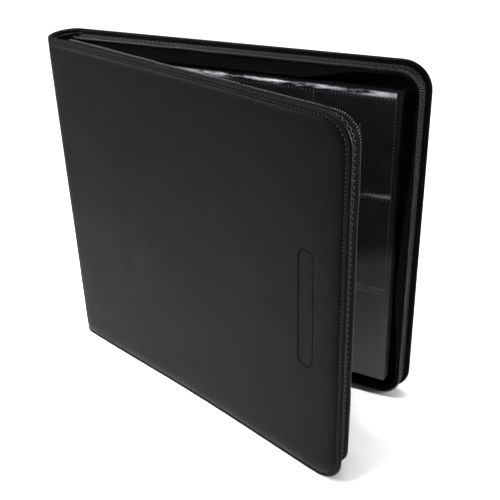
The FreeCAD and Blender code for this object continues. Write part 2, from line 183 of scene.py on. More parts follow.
# ---- sizes in millimetres, the same as the CAD part ----
MM = 0.001
WIDTH = 350.0  # cover, fold axis to fore-edge
HEIGHT = 338.0
CORNER = 26.0
THICK = 6.0  # whole cover
SPINE_RADIUS = 27.0
SPINE_CENTRE = 18.0  # from the fold line
SPINE_HALF = 17.0  # middle plane to the end of the spine's arc
SPINE_THICK = 4.7
COVER_START = 7.0  # where the wall becomes flat
EDGE_ROUND = 2.0
LEATHER = 0.9
FOAM_INNER = 3.2  # depths below the outer face
BOARD_OUTER = 3.4
BOARD_INNER = 5.0
BOW_DEEP = 2.4  # how far the front cover is pressed in
HEM = 7.5  # leather turned in over the inner face
STITCH_INSET = 4.2
STITCH_PITCH = 3.5
TAPE_INSET = 5.45
TAPE_THICK = 0.9
TAPE_LOW = 5.9  # depth below the outer face
TAPE_HIGH = 18.9
COIL_DEPTH = 20.2
COIL_RADIUS = 0.85
COIL_WIRE = 0.36
COIL_PITCH = 2.2
ZIGZAG_PITCH = 2.5
ZIP_START = 10.0
GUARD_DEPTH = 17.4
GUARD_THICK = 0.7
GUARD_INSET = 6.1
GUARD_WIDE = 14.3  # along the top and the bottom
GUARD_NARROW = 4.2  # along the fore-edge, where it swells again near its middle
GUARD_SWELL = 6.0
GUARD_SWELL_Z = 135.0
LEAF_LENGTH = 326.0  # beyond its flex axis
LEAF_BEND = 6.0  # length over which a leaf turns away from its tab
LEAF_LOW = 22.25
LEAF_HIGH = 315.75
TAB_PITCH = 1.455  # leaves pressed together in the binding
TAB_GAP = 0.06
BINDING_FRONT = 5.7  # from the fold line
POCKET_WIDE = 72.5
POCKET_TALL = 96.3
POCKET_LEFT = 31.0
POCKET_LOW = 24.0
COLUMNS = 4
ROWS = 3
WELD_PITCH = 3.3
LIP_HIGHLIGHT_DEEP = 2.4  # depth of the painted highlight band at a pocket's open edge
MID = HEIGHT / 2

JOINTS = {joint["name"]: joint for joint in frame["joints"]}
FOLLOWS = {pair["joint"]: pair["ratio"] for pair in frame["record"]["behaviour"]["couplings"]}
HINGE = JOINTS["back_cover_hinge"]
OPENING = math.radians(-HINGE["range_deg"][0])
FOLD_X = HINGE["pos_m"][0] / MM
FOLD_Y = HINGE["pos_m"][1] / MM
SIDES = (("front", -1), ("back", 1))
STACKS = {name: sum(joint.startswith(f"{name}_leaf") for joint in JOINTS) for name, _ in SIDES}


# ---- places ----

def world(x, y, z):
    """Point from the fold line, the middle plane and the floor, in metres."""
    return Vector((x + FOLD_X, y, z)) * MM


def smooth(value):
    value = min(max(value, 0.0), 1.0)
    return value * value * (3 - 2 * value)


SPINE_TURN = math.asin(SPINE_HALF / SPINE_RADIUS)
COVER_WAY = (math.cos(OPENING), math.sin(OPENING))
FOLD_FROM = (SPINE_CENTRE - SPINE_RADIUS * math.cos(SPINE_TURN), SPINE_HALF)
FOLD_TO = (COVER_START * COVER_WAY[0] - THICK / 2 * COVER_WAY[1],
           FOLD_Y + COVER_START * COVER_WAY[1] + THICK / 2 * COVER_WAY[0])
FOLD_LENGTH = 1.04 * math.dist(FOLD_FROM, FOLD_TO)
SPINE_END = COVER_START - FOLD_LENGTH
SPINE_MIDDLE = SPINE_END - SPINE_RADIUS * SPINE_TURN


def wall_line(u):
    """Outer face of the back wall at arc length u from the fold axis: place and direction."""
    if u >= COVER_START:
        run = u - COVER_START
        return (FOLD_TO[0] + run * COVER_WAY[0], FOLD_TO[1] + run * COVER_WAY[1], *COVER_WAY)
    if u <= SPINE_END:
        turn = (u - SPINE_MIDDLE) / SPINE_RADIUS
        return (SPINE_CENTRE - SPINE_RADIUS * math.cos(turn), SPINE_RADIUS * math.sin(turn),
                math.sin(turn), math.cos(turn))
    t = (u - SPINE_END) / FOLD_LENGTH
    start_way = (math.sin(SPINE_TURN) * FOLD_LENGTH, math.cos(SPINE_TURN) * FOLD_LENGTH)
    end_way = (COVER_WAY[0] * FOLD_LENGTH, COVER_WAY[1] * FOLD_LENGTH)
    place = []
    way = []
    for k in range(2):
        a, b, c, d = FOLD_FROM[k], start_way[k], FOLD_TO[k], end_way[k]
        place.append((2 * t**3 - 3 * t**2 + 1) * a + (t**3 - 2 * t**2 + t) * b
                     + (3 * t**2 - 2 * t**3) * c + (t**3 - t**2) * d)
        way.append((6 * t**2 - 6 * t) * (a - c) + (3 * t**2 - 4 * t + 1) * b
                   + (3 * t**2 - 2 * t) * d)
    length = math.hypot(*way)
    return place[0], place[1], way[0] / length, way[1] / length


def bow(side, u):
    """The front cover is pressed in a little between its spine and its fore-edge."""
    if side > 0 or u < COVER_START:
        return 0.0
    share = (u - COVER_START) / (WIDTH - COVER_START)
    return BOW_DEEP * math.sin(math.pi * share)**2


def wall_point(side, u, depth, z):
    """Point at arc length u and height z, that deep below the wall's outer face."""
    x, y, along, out = wall_line(u)
    depth = depth + bow(side, u)
    return world(x + out * depth, side * (y - along * depth), z)


def wall_thick(u):
    return SPINE_THICK + (THICK - SPINE_THICK) * smooth((u - SPINE_END) / FOLD_LENGTH)


def rounded(u, z):
    """Moves a grid point near a corner onto its round ring; gives its distance from the edge."""
    across = u - (WIDTH - CORNER)
    up = abs(z - MID) - (MID - CORNER)
    if across <= 0 or up <= 0:
        return u, z, min(WIDTH - u, MID - abs(z - MID))
    ring = max(across, up)
    turn = math.pi / 4 * min(across, up) / ring
    if up > across:
        turn = math.pi / 2 - turn
    sign = 1 if z > MID else -1
    return (WIDTH - CORNER + ring * math.cos(turn),
            MID + sign * (MID - CORNER + ring * math.sin(turn)), CORNER - ring)


def at_inset(u, z, inset):
    """The grid point on the ring that far from the edge, beside a point on the plate's rim."""
    across = u - (WIDTH - CORNER)
    up = abs(z - MID) - (MID - CORNER)
    sign = 1 if z > MID else -1
    if across > 0 and up > 0:
        scale = (CORNER - inset) / max(across, up)
        return WIDTH - CORNER + across * scale, MID + sign * (MID - CORNER + up * scale)
    if up > 0:
        return u, MID + sign * (MID - inset)
    return WIDTH - inset, z


def edge_run(inset, start):
    """(arc length, u, z) along the three free edges at that inset, from the bottom to the top."""
    straight = WIDTH - CORNER - start
    side_run = HEIGHT - 2 * CORNER
    radius = CORNER - inset
    arc = math.pi / 2 * radius
    total = 2 * straight + 2 * arc + side_run

    def place(run):
        low = run < total / 2
        near = run if low else total - run
        sign = -1 if low else 1
        if near < straight:
            return start + near, MID + sign * (MID - inset)
        if near < straight + arc:
            turn = (near - straight) / radius
            return (WIDTH - CORNER + radius * math.sin(turn),
                    MID + sign * (MID - CORNER + radius * math.cos(turn)))
        up = near - straight - arc
        return WIDTH - inset, MID + sign * (MID - CORNER - up)

    return total, place


# ---- meshes ----

def new_piece(name, points, faces, material, flat=False, uvs=None):
    """Mesh object with its faces turned outwards."""
    mesh = bpy.data.meshes.new(name)
    mesh.from_pydata(points, [], faces)
    if uvs:
        layer = mesh.uv_layers.new(name="UVMap")
        for loop in mesh.loops:
            layer.data[loop.index].uv = uvs[loop.vertex_index]
    mesh.validate()
    piece = bpy.data.objects.new(name, mesh)
    bpy.context.scene.collection.objects.link(piece)
    mesh.materials.append(material)
    mesh.update()
    volume = 0.0
    for face in mesh.polygons:
        corner = [mesh.vertices[i].co for i in face.vertices]
        for k in range(1, len(corner) - 1):
            volume += corner[0].dot(corner[k].cross(corner[k + 1]))
    if volume < 0:
        mesh.flip_normals()
    if not flat:
        mesh.polygons.foreach_set("use_smooth", [True] * len(mesh.polygons))
    return piece


def add_values(piece, name, values):
    """One number for each point of the mesh, for its material to read."""
    layer = piece.data.attributes.new(name, "FLOAT", "POINT")
    layer.data.foreach_set("value", values)


def paint_from(piece, first_face, material):
    """Gives a second material to the faces from that one on."""
    piece.data.materials.append(material)
    for polygon in piece.data.polygons[first_face:]:
        polygon.material_index = 1


def strip(first, second):
    """Quads between two rows of vertex numbers."""
    return [(first[k], first[k + 1], second[k + 1], second[k]) for k in range(len(first) - 1)]


def sheet_faces(rows):
    faces = []
    for k in range(len(rows) - 1):
        faces.extend(strip(rows[k], rows[k + 1]))
    return faces


def end_faces(rows):
    """Closes the first and the last of some closed rows."""
    return [tuple(reversed(rows[0][:-1])), tuple(rows[-1][:-1])]


def rim_of(rows):
    """Vertex numbers along the bottom, fore-edge and top of a grid of columns."""
    bottom = [column[0] for column in rows]
    fore = rows[-1][1:-1]
    top = [column[-1] for column in reversed(rows)]
    return bottom + fore + top


def plate(name, side, lines, heights, outer, inner, loops, material, inner_gap=0.0):
    """Closed plate on a grid of (u, z): an outer face, loops round its edge, and an inner face."""
    points = []
    wear = []
    crease = []

    def face_rows(depth, gap):
        rows = []
        for line in lines:
            column = []
            for height in heights:
                u, z = line, height
                if gap and u > WIDTH - CORNER:
                    u = WIDTH - gap - (WIDTH - u) * (1 - gap / CORNER)
                rise = abs(z - MID) - (MID - CORNER)
                if gap and rise > 0:
                    z = MID + math.copysign(MID - CORNER + rise * (1 - gap / CORNER), z - MID)
                u, z, inset = rounded(u, z)
                column.append(len(points))
                points.append(wall_point(side, u, depth(u, z, inset), z))
                wear.append(math.exp(-inset / 1.3) if inset >= 0 else 1.0)
                crease.append(groove_shade_share(side, u, z, inset))
            rows.append(column)
        return rows

    outer_rows = face_rows(outer, 0.0)
    rim_places = []
    for kind in ([(line, heights[0]) for line in lines],
                 [(lines[-1], height) for height in heights[1:-1]],
                 [(line, heights[-1]) for line in reversed(lines)]):
        rim_places.extend(kind)
    rings = [rim_of(outer_rows)]
    for inset, depth in loops:
        ring = []
        for place in rim_places:
            u, z, _ = rounded(*at_inset(*place, inset))
            ring.append(len(points))
            points.append(wall_point(side, u, depth(u), z))
            wear.append(math.exp(-inset / 1.3))
            crease.append(0.0)
        rings.append(ring)
    inner_rows = face_rows(inner, inner_gap)
    rings.append(rim_of(inner_rows))
    faces = sheet_faces(outer_rows) + sheet_faces(rings)
    faces += [tuple(reversed(face)) for face in sheet_faces(inner_rows)]
    faces += strip(inner_rows[0], outer_rows[0])
    count = len(rings)
    for low in range(count // 2):
        high = count - 1 - low
        if high - low < 2:
            break
        for end in (0, -1):
            quad = [rings[low][end], rings[low + 1][end], rings[high - 1][end], rings[high][end]]
            if len(set(quad)) == 4:
                faces.append(tuple(quad if end else reversed(quad)))
            elif len(set(quad)) == 3:
                faces.append(tuple(dict.fromkeys(quad if end else reversed(quad))))
    piece = new_piece(name, points, faces, material)
    add_values(piece, "wear", wear)
    # painted shade of the grooves, for the leather's material
    add_values(piece, "crease", crease)
    return piece


def tube(path, radius, sides, points, faces):
    """Adds a round tube along a path, with closed ends."""
    rows = []
    count = len(path)
    for k, place in enumerate(path):
        ahead = (path[min(k + 1, count - 1)] - path[max(k - 1, 0)]).normalized()
        aside = ahead.cross(Vector((0.31, 0.17, 0.93))).normalized()
        up = aside.cross(ahead)
        row = []
        for n in range(sides):
            turn = 2 * math.pi * n / sides
            row.append(len(points))
            points.append(place + aside * (radius * math.cos(turn))
                          + up * (radius * math.sin(turn)))
        row.append(row[0])
        rows.append(row)
    faces.extend(sheet_faces(rows) + end_faces(rows))


def bead(centre, along, across, up, sizes, points, faces, rings=4, sides=6):
    """Adds a small closed bead with those half sizes along its three directions."""
    first = len(points)
    points.append(centre - along * sizes[0])
    rows = []
    for k in range(1, rings):
        turn = math.pi * k / rings
        row = []
        for n in range(sides):
            spin = 2 * math.pi * n / sides
            row.append(len(points))
            points.append(centre - along * (sizes[0] * math.cos(turn))
                          + across * (sizes[1] * math.sin(turn) * math.cos(spin))
                          + up * (sizes[2] * math.sin(turn) * math.sin(spin)))
        row.append(row[0])
        rows.append(row)
    last = len(points)
    points.append(centre + along * sizes[0])
    faces.extend(sheet_faces(rows))
    faces.extend((first, b, a) for a, b in zip(rows[0], rows[0][1:]))
    faces.extend((last, a, b) for a, b in zip(rows[-1], rows[-1][1:]))


# ---- materials ----

WAVE_REPEAT = math.pi / 10  # a wave texture's scale for one band in each unit of length
LEATHER_SHINE = 0.0195  # specular level outside the grooves


def node(mat, kind, inputs=None, **settings):
    made = mat.node_tree.nodes.new("ShaderNode" + kind)
    for key, value in settings.items():
        setattr(made, key, value)
    for key, value in (inputs or {}).items():
        if isinstance(value, bpy.types.NodeSocket):
            mat.node_tree.links.new(value, made.inputs[key])
        else:
            made.inputs[key].default_value = value
    return made


def new_material(name, color, rough, **inputs):
    """Principled material and its shader node."""
    mat = bpy.data.materials.new(name)
    mat.use_nodes = True
    shader = mat.node_tree.nodes["Principled BSDF"]
    shader.inputs["Base Color"].default_value = (*color, 1)
    shader.inputs["Roughness"].default_value = rough
    for key, value in inputs.items():
        shader.inputs[key.replace("_", " ")].default_value = value
    return mat, shader


def place_of(mat, kind="Object"):
    return node(mat, "TexCoord").outputs[kind]


def noise_of(mat, where, scale, detail=3.0, rough=0.55):
    made = node(mat, "TexNoise", {"Vector": where, "Scale": scale, "Detail": detail,
                                  "Roughness": rough})
    return made.outputs["Fac"]


def cells_of(mat, where, scale):
    return node(mat, "TexVoronoi", {"Vector": where, "Scale": scale}).outputs["Distance"]


def maths(mat, kind, first, second=0.0):
    made = node(mat, "Math", {0: first, 1: second}, operation=kind)
    return made.outputs[0]


def remap(mat, value, low, high, to_low, to_high):
    made = node(mat, "MapRange", {"Value": value, "From Min": low, "From Max": high,
                                  "To Min": to_low, "To Max": to_high})
    return made.outputs["Result"]


def mix_color(mat, share, first, second):
    made = node(mat, "Mix", data_type="RGBA")
    inputs = made.inputs
    for socket, value in ((inputs[0], share), (inputs[6], first), (inputs[7], second)):
        if isinstance(value, bpy.types.NodeSocket):
            mat.node_tree.links.new(value, socket)
        else:
            socket.default_value = value if isinstance(value, float) else (*value, 1)
    return made.outputs[2]


def connect(mat, socket, shader, name):
    mat.node_tree.links.new(socket, shader.inputs[name])


def add_bumps(mat, shader, layers):
    """Bump nodes one after the other; each layer is (height, strength, distance)."""
    normal = None
    for height, strength, distance in layers:
        inputs = {"Height": height, "Strength": strength, "Distance": distance}
        if normal:
            inputs["Normal"] = normal
        normal = node(mat, "Bump", inputs).outputs["Normal"]
    connect(mat, normal, shader, "Normal")


def shades(color, low, high):
    return tuple(c * low for c in color), tuple(c * high for c in color)


def leather_material():
    color = (0.0019, 0.0019, 0.002)
    mat, shader = new_material("black_leatherette", color, 0.5)
    where = place_of(mat)
    patches = noise_of(mat, where, 9.0, 4.0)
    dark, light = shades(color, 0.75, 1.3)
    tone = mix_color(mat, patches, dark, light)
    grain = remap(mat, noise_of(mat, where, 520.0, 3.0, 0.6), 0.36, 0.64, 0.0, 0.7)
    tone = mix_color(mat, grain, tone, shades(color, 1.0, 2.1)[1])
    pores = cells_of(mat, where, 1150.0)
    tone = mix_color(mat, remap(mat, pores, 0.0, 0.55, 0.35, 0.0), tone, (0.0015, 0.0015, 0.0017))
    wear = node(mat, "Attribute", attribute_name="wear").outputs["Fac"]
    rub = maths(mat, "MULTIPLY", wear, remap(mat, noise_of(mat, where, 60.0), 0.35, 0.7, 0.1, 0.75))
    tone = mix_color(mat, rub, tone, (0.005, 0.005, 0.0053))
    # Painted shade: the stitch groove and the pill's outline are darkened and lose their shine.
    crease = node(mat, "Attribute", attribute_name="crease").outputs["Fac"]
    tone = mix_color(mat, maths(mat, "MULTIPLY", crease, 0.85), tone, (0.001, 0.001, 0.001))
    connect(mat, tone, shader, "Base Color")
    connect(mat, remap(mat, crease, 0.0, 0.8, LEATHER_SHINE, 0.0), shader, "Specular IOR Level")
    rough = remap(mat, noise_of(mat, where, 35.0), 0.3, 0.7, 0.37, 0.47)
    smoothed = maths(mat, "MULTIPLY", rub, 0.12)
    connect(mat, maths(mat, "SUBTRACT", rough, smoothed), shader, "Roughness")
    creases = noise_of(mat, where, 240.0, 5.0, 0.6)
    add_bumps(mat, shader, [(pores, 0.35, 0.00012), (creases, 0.65, 0.0004),
                            (noise_of(mat, where, 22.0, 2.0), 0.25, 0.0012)])
    return mat


def weave_material(name, color, pitch, rough, coords="Object", slant=0.0, contrast=1.0):
    """Woven cloth: warp and weft ridges that far apart, in millimetres."""
    mat, shader = new_material(name, color, rough, Specular_IOR_Level=0.008, Sheen_Weight=0.004,
                               Sheen_Roughness=0.5)
    where = place_of(mat, coords)
    turned = node(mat, "Mapping", {"Vector": where, "Rotation": (0.0, 0.0, slant)})
    turned = turned.outputs["Vector"]
    scale = WAVE_REPEAT / (pitch * MM)
    ridges = []
    for direction in ("X", "Z" if coords == "Object" else "Y"):
        wave = node(mat, "TexWave", {"Vector": turned, "Scale": scale, "Distortion": 0.6,
                                     "Detail": 1.0, "Detail Scale": 2.0}, bands_direction=direction)
        ridges.append(wave.outputs["Fac"])
    weave = maths(mat, "MAXIMUM", ridges[0], ridges[1])
    fuzz = noise_of(mat, where, 900.0, 4.0, 0.7)
    dark, light = shades(color, 1 - 0.5 * contrast, 1 + 0.5 * contrast)
    tone = mix_color(mat, weave, dark, light)
    dark, light = shades(color, 0.75, 1.2)
    tone = mix_color(mat, remap(mat, noise_of(mat, where, 25.0), 0.35, 0.65, 0.0, 0.5), tone, light)
    connect(mat, tone, shader, "Base Color")
    connect(mat, remap(mat, fuzz, 0.3, 0.7, rough - 0.08, min(1.0, rough + 0.08)), shader,
            "Roughness")
    add_bumps(mat, shader, [(weave, 0.6, 0.0003), (fuzz, 0.3, 0.0002)])
    return mat


def thread_material(name, shade):
    color = (shade, shade, shade * 1.05)
    mat, shader = new_material(name, color, 0.55, Specular_IOR_Level=0.05)
    where = place_of(mat)
    twist = node(mat, "TexWave", {"Vector": where, "Scale": 420.0, "Distortion": 1.0},
                 bands_direction="DIAGONAL").outputs["Fac"]
    dark, light = shades(color, 0.5, 1.5)
    connect(mat, mix_color(mat, twist, dark, light), shader, "Base Color")
    connect(mat, remap(mat, twist, 0.0, 1.0, 0.62, 0.48), shader, "Roughness")
    add_bumps(mat, shader, [(twist, 0.5, 0.0002)])
    return mat


def nylon_material():
    color = (0.06, 0.06, 0.062)
    mat, shader = new_material("coil_nylon", color, 0.32, Specular_IOR_Level=0.08)
    where = place_of(mat)
    drawn = noise_of(mat, where, 500.0, 3.0)
    dark, light = shades(color, 0.75, 1.4)
    connect(mat, mix_color(mat, drawn, dark, light), shader, "Base Color")
    connect(mat, remap(mat, drawn, 0.3, 0.7, 0.22, 0.38), shader, "Roughness")
    add_bumps(mat, shader, [(drawn, 0.15, 0.0001)])
    return mat


def film_material(name, color, rough, haze):
    """Clear pocket film over a dark page core, with pull lines and marks, painted highlights along the lips, and a
    painted reflection of the floor that makes it paler towards the bottom.
    """
    mat, shader = new_material(name, color, rough, Specular_IOR_Level=0.08, Coat_Weight=0.05,
                               Coat_Roughness=0.05)
    where = place_of(mat)
    stretched = node(mat, "Mapping", {"Vector": where, "Scale": (3.0, 3.0, 22.0)}).outputs["Vector"]
    pull = noise_of(mat, stretched, 5.0, 3.0)
    marks = noise_of(mat, where, 55.0, 5.0, 0.65)
    dark, light = shades(color, 0.8, 1.3)
    tone = mix_color(mat, remap(mat, marks, 0.35, 0.7, 0.0, 1.0), dark, light)
    drawn = node(mat, "Mapping", {"Vector": where, "Scale": (1.0, 1.0, 6.0)}).outputs["Vector"]
    lip_highlight_streaks = remap(mat, noise_of(mat, drawn, 34.0, 4.0, 0.7), 0.42, 0.62, 0.0, 1.0)
    # Painted reflection of the bright floor: paler below a slanting line, and paler again towards the bottom.
    parts = node(mat, "SeparateXYZ", {"Vector": where}).outputs
    floor_reflection_slope = maths(mat, "ADD", parts["Z"], maths(mat, "MULTIPLY", parts["X"], -0.35))
    tone = mix_color(mat, remap(mat, floor_reflection_slope, 0.118, 0.098, 0.0, 0.6), tone, (0.042, 0.042, 0.0425))
    tone = mix_color(mat, remap(mat, parts["Z"], 0.13, 0.05, 0.0, 0.6), tone, (0.085, 0.085, 0.087))
    # Painted highlight: white streaks along the pockets' open lips.
    lip = node(mat, "Attribute", attribute_name="lip").outputs["Fac"]
    tone = mix_color(mat, maths(mat, "MULTIPLY", lip, lip_highlight_streaks), tone, (0.42, 0.43, 0.46))
    connect(mat, tone, shader, "Base Color")
    connect(mat, remap(mat, marks, 0.3, 0.75, rough - haze, rough + haze), shader, "Roughness")
    add_bumps(mat, shader, [(pull, 0.1, 0.0012), (noise_of(mat, where, 300.0, 2.0), 0.08, 0.0001)])
    return mat


def weld_material():
    color = (0.026, 0.026, 0.0275)
    mat, shader = new_material("welded_film", color, 0.35, Specular_IOR_Level=0.3)
    where = place_of(mat)
    melt = noise_of(mat, where, 700.0, 3.0)
    dark, light = shades(color, 0.6, 1.6)
    connect(mat, mix_color(mat, melt, dark, light), shader, "Base Color")
    connect(mat, remap(mat, melt, 0.3, 0.7, 0.22, 0.45), shader, "Roughness")
    add_bumps(mat, shader, [(melt, 0.3, 0.0002)])
    return mat


def metal_material():
    color = (0.055, 0.055, 0.058)
    mat, shader = new_material("gunmetal", color, 0.34, Metallic=1.0)
    where = place_of(mat)
    brushed = node(mat, "Mapping", {"Vector": where, "Scale": (1.0, 12.0, 12.0)}).outputs["Vector"]
    lines = noise_of(mat, brushed, 260.0, 4.0, 0.7)
    spots = noise_of(mat, where, 160.0, 4.0)
    tone = mix_color(mat, remap(mat, spots, 0.55, 0.72, 0.0, 0.7), color, (0.19, 0.185, 0.18))
    connect(mat, tone, shader, "Base Color")
    connect(mat, remap(mat, lines, 0.3, 0.7, 0.24, 0.46), shader, "Roughness")
    add_bumps(mat, shader, [(lines, 0.2, 0.0001)])
    return mat


def filler_material(name, color, scale, depth):
    """Foam or board inside the cover."""
    mat, shader = new_material(name, color, 0.9, Specular_IOR_Level=0.02)
    where = place_of(mat)
    grains = cells_of(mat, where, scale)
    dark, light = shades(color, 0.7, 1.15)
    connect(mat, mix_color(mat, grains, dark, light), shader, "Base Color")
    connect(mat, remap(mat, grains, 0.0, 0.8, 0.82, 0.96), shader, "Roughness")
    add_bumps(mat, shader, [(grains, 0.5, depth)])
    return mat


LEATHERETTE = leather_material()
LINING = weave_material("lining_cloth", (0.0028, 0.0025, 0.0034), 0.55, 0.8)
TAPE_CLOTH = weave_material("zip_tape_weave", (0.002, 0.002, 0.0021), 2.3, 0.75, "UV", 0.6, 1.8)
GUARD_CLOTH = weave_material("zip_guard_cloth", (0.004, 0.004, 0.0043), 0.5, 0.75)
THREAD = thread_material("sewing_thread", 0.035)
SEAM = thread_material("tape_seam_thread", 0.03)
# Black for painted shade in the needle holes and under the guard's free edge, and for the coil's cord.
SHADE_AND_CORD_BLACK = filler_material("needle_hole", (0.0015, 0.0015, 0.0015), 2500.0, 0.0001)
NYLON = nylon_material()
PAGE = film_material("pocket_film", (0.0075, 0.0075, 0.0085), 0.2, 0.05)
WELD = weld_material()
TAB = film_material("leaf_tab", (0.012, 0.012, 0.013), 0.4, 0.06)
METAL = metal_material()
FOAM = filler_material("grey_foam", (0.12, 0.12, 0.13), 1500.0, 0.0003)
BOARD = filler_material("grey_board", (0.2, 0.19, 0.17), 700.0, 0.0001)


# ---- covers ----

EDGE_LINES = (0.0, 0.12, 0.5, 1.1, 1.7, 2.2, 2.6, 3.0, 3.4, 3.8, 4.2, 4.6, 5.0, 5.6, 6.6, 8.0,
              10.0, 13.0, 17.0, 21.0)
BADGE_U = 314.0
BADGE_HALF = (7.5, 55.0)  # plain debossed pill, across and along
BADGE_REACH = 2.0
BADGE_STEP = 0.5
BADGE_DEEP = 0.45
BADGE_FIELD = 0.16
PUFF_LOW = 1.8  # how far the sewn edge lies below the CAD face
PUFF_RISE = 2.4  # foam's rise inside the stitching
PUFF_REACH = 4.5


def spaced(start, end, step):
    count = max(1, round((end - start) / step))
    return [start + (end - start) * k / count for k in range(count)]


def merged(values, gap=0.05):
    """Sorted values, without any that almost repeat."""
    kept = []
    for value in sorted(values):
        if not kept or value - kept[-1] > gap:
            kept.append(value)
    return kept


def cover_lines(start, step, insets, badge=False):
    lines = spaced(start, COVER_START, 2.4) if start < COVER_START else [start]
    lines += spaced(max(start, COVER_START), WIDTH - CORNER, step)
    lines += [WIDTH - CORNER] + [WIDTH - inset for inset in insets]
    if badge:
        reach = BADGE_HALF[0] + BADGE_REACH
        lines += spaced(BADGE_U - reach, WIDTH - CORNER, BADGE_STEP)
    return merged(lines)


def cover_heights(step, insets, badge=False):
    heights = spaced(CORNER, HEIGHT - CORNER, step) + [HEIGHT - CORNER]
    for inset in insets:
        heights += [inset, HEIGHT - inset]
    if badge:
        for sign in (-1, 1):
            middle = MID + sign * (BADGE_HALF[1] - BADGE_HALF[0] / 2)
            reach = BADGE_HALF[0] / 2 + BADGE_REACH
            heights += spaced(middle - reach, middle + reach, BADGE_STEP)
    return merged(heights)


def edge_round(inset):
    if inset >= EDGE_ROUND:
        return 0.0
    return EDGE_ROUND - math.sqrt(max(0.0, EDGE_ROUND**2 - (EDGE_ROUND - inset)**2))


def badge_outline(u, z):
    """Distance from the middle line of a pill, less its radius: negative inside."""
    along = max(0.0, abs(z - MID) - (BADGE_HALF[1] - BADGE_HALF[0]))
    return math.hypot(u - BADGE_U, along) - BADGE_HALF[0]


def badge_depth(u, z):
    """Groove along the outline of the pill, and its lower field."""
    gap = badge_outline(u, z)
    return BADGE_DEEP * (1 - smooth(abs(gap) / 1.1)) + (BADGE_FIELD if gap < 0 else 0.0)


def groove_shade_share(side, u, z, inset):
    """Share of painted shade in a pressed groove, from 0 to 1: along the stitch line, and the pill's outline on the
    front.
    """
    seam = math.exp(-((inset - STITCH_INSET) / 0.6)**2)
    pill = math.exp(-(badge_outline(u, z) / 0.7)**2) if side < 0 else 0.0
    return max(seam, 0.55 * pill)


def leather_depth(side):
    def depth(u, z, inset):
        puff = 1 - math.exp(-max(0.0, inset - STITCH_INSET) / PUFF_REACH)
        share = smooth((u - SPINE_END) / FOLD_LENGTH)
        deep = share * (PUFF_LOW - PUFF_RISE * puff) + edge_round(inset)
        deep += (0.2 + 0.35 * share) * math.exp(-((inset - STITCH_INSET) / 0.75)**2)
        deep += 0.22 * math.exp(-((inset - 2.6) / 0.32)**2)
        swell = noise.noise(Vector((u * 0.012, z * 0.012, 3.0 * side)))
        deep += 0.35 * share * puff * swell
        if side < 0:
            deep += badge_depth(u, z)
        return deep
    return depth


def make_leather(name, side):
    lines = cover_lines(SPINE_MIDDLE, 8.0, EDGE_LINES, side < 0)
    heights = cover_heights(8.0, EDGE_LINES, side < 0)
    loops = []
    for inset in (0.0, 0.12, 0.5, 1.1, 1.7, 2.2, 4.5, HEM):
        loops.append((inset, lambda u, inset=inset: wall_thick(u) - edge_round(inset)))
    loops += [
        (HEM, lambda u: wall_thick(u) - LEATHER),
        (2.6, lambda u: wall_thick(u) - LEATHER),
        (1.3, lambda u: wall_thick(u) - 1.5),
        (1.0, lambda u: wall_thick(u) / 2),
        (1.3, lambda u: 2.2),
    ]
    face = leather_depth(side)
    piece = plate(name, side, lines, heights, face,
                  lambda u, z, inset: face(u, z, max(inset, EDGE_ROUND)) + LEATHER,
                  loops, LEATHERETTE, inner_gap=2.4)
    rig.slot(piece, "leatherette")
    return piece


def wall_blend(piece, name, side):
    """The spine's part stays with the spine, the cover's with its cover, and the fold bends."""
    start = wall_point(side, SPINE_END - 1.0, THICK / 2, 0)
    end = wall_point(side, COVER_START + 1.0, THICK / 2, 0)
    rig.blend(piece, "spine", f"{name}_cover", start, end)


def make_stitching(name, side):
    """Lockstitch thread in the groove along the cover's edge, with black beads painted as the shade in its
    needle holes, and its underside where it crosses the spine."""
    face = leather_depth(side)
    total, place = edge_run(STITCH_INSET, SPINE_MIDDLE)
    count = round(total / STITCH_PITCH)
    points = []
    faces = []

    def stitch(run, depth_of, sizes):
        u, z = place(run)
        ahead_u, ahead_z = place(run + 0.4)
        back_u, back_z = place(run - 0.4)
        deep = depth_of(u, z)
        centre = wall_point(side, u, deep, z)
        along = (wall_point(side, ahead_u, deep, ahead_z)
                 - wall_point(side, back_u, deep, back_z)).normalized()
        up = (wall_point(side, u, deep - 1, z) - centre).normalized()
        bead(centre, along, along.cross(up), up, [size * MM for size in sizes], points, faces)

    for k in range(count):
        run = (k + 0.5) * total / count
        stitch(run, lambda u, z: face(u, z, STITCH_INSET) - 0.25, (1.0, 0.42, 0.3))
        if place(run)[0] < COVER_START:
            stitch(run, lambda u, z: wall_thick(u) + 0.12, (1.35, 0.36, 0.3))
    # Black beads in the needle holes: painted shade.
    thread_faces = len(faces)
    for k in range(count + 1):
        run = min(max(k * total / count, 0.5), total - 0.5)
        stitch(run, lambda u, z: face(u, z, STITCH_INSET) - 0.3, (0.8, 0.6, 0.32))
    piece = new_piece(f"{name}_edge_stitching", points, faces, THREAD)
    paint_from(piece, thread_faces, SHADE_AND_CORD_BLACK)
    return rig.slot(piece, "zip_tape_cloth")


def make_filler(name, side, layer, insets, near, far, material, slot_name):
    """Foam or board, just inside the leather."""
    piece = plate(f"{name}_{layer}_core", side, cover_lines(COVER_START + 1.5, 16.0, insets),
                  cover_heights(16.0, insets), near, lambda u, z, inset: far, [], material)
    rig.slot(piece, slot_name)
    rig.replaces(piece, f"{name}_cover_{layer}")
    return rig.ride(piece, f"{name}_cover")


def make_fillers(name, side):
    face = leather_depth(side)
    make_filler(name, side, "foam", (8.0, 14.0, 20.0),
                lambda u, z, inset: face(u, z, inset) + LEATHER + 0.05, FOAM_INNER, FOAM, "foam")
    make_filler(name, side, "board", (2.8, 8.0, 14.0, 20.0), lambda u, z, inset: BOARD_OUTER,
                BOARD_INNER, BOARD, "board")


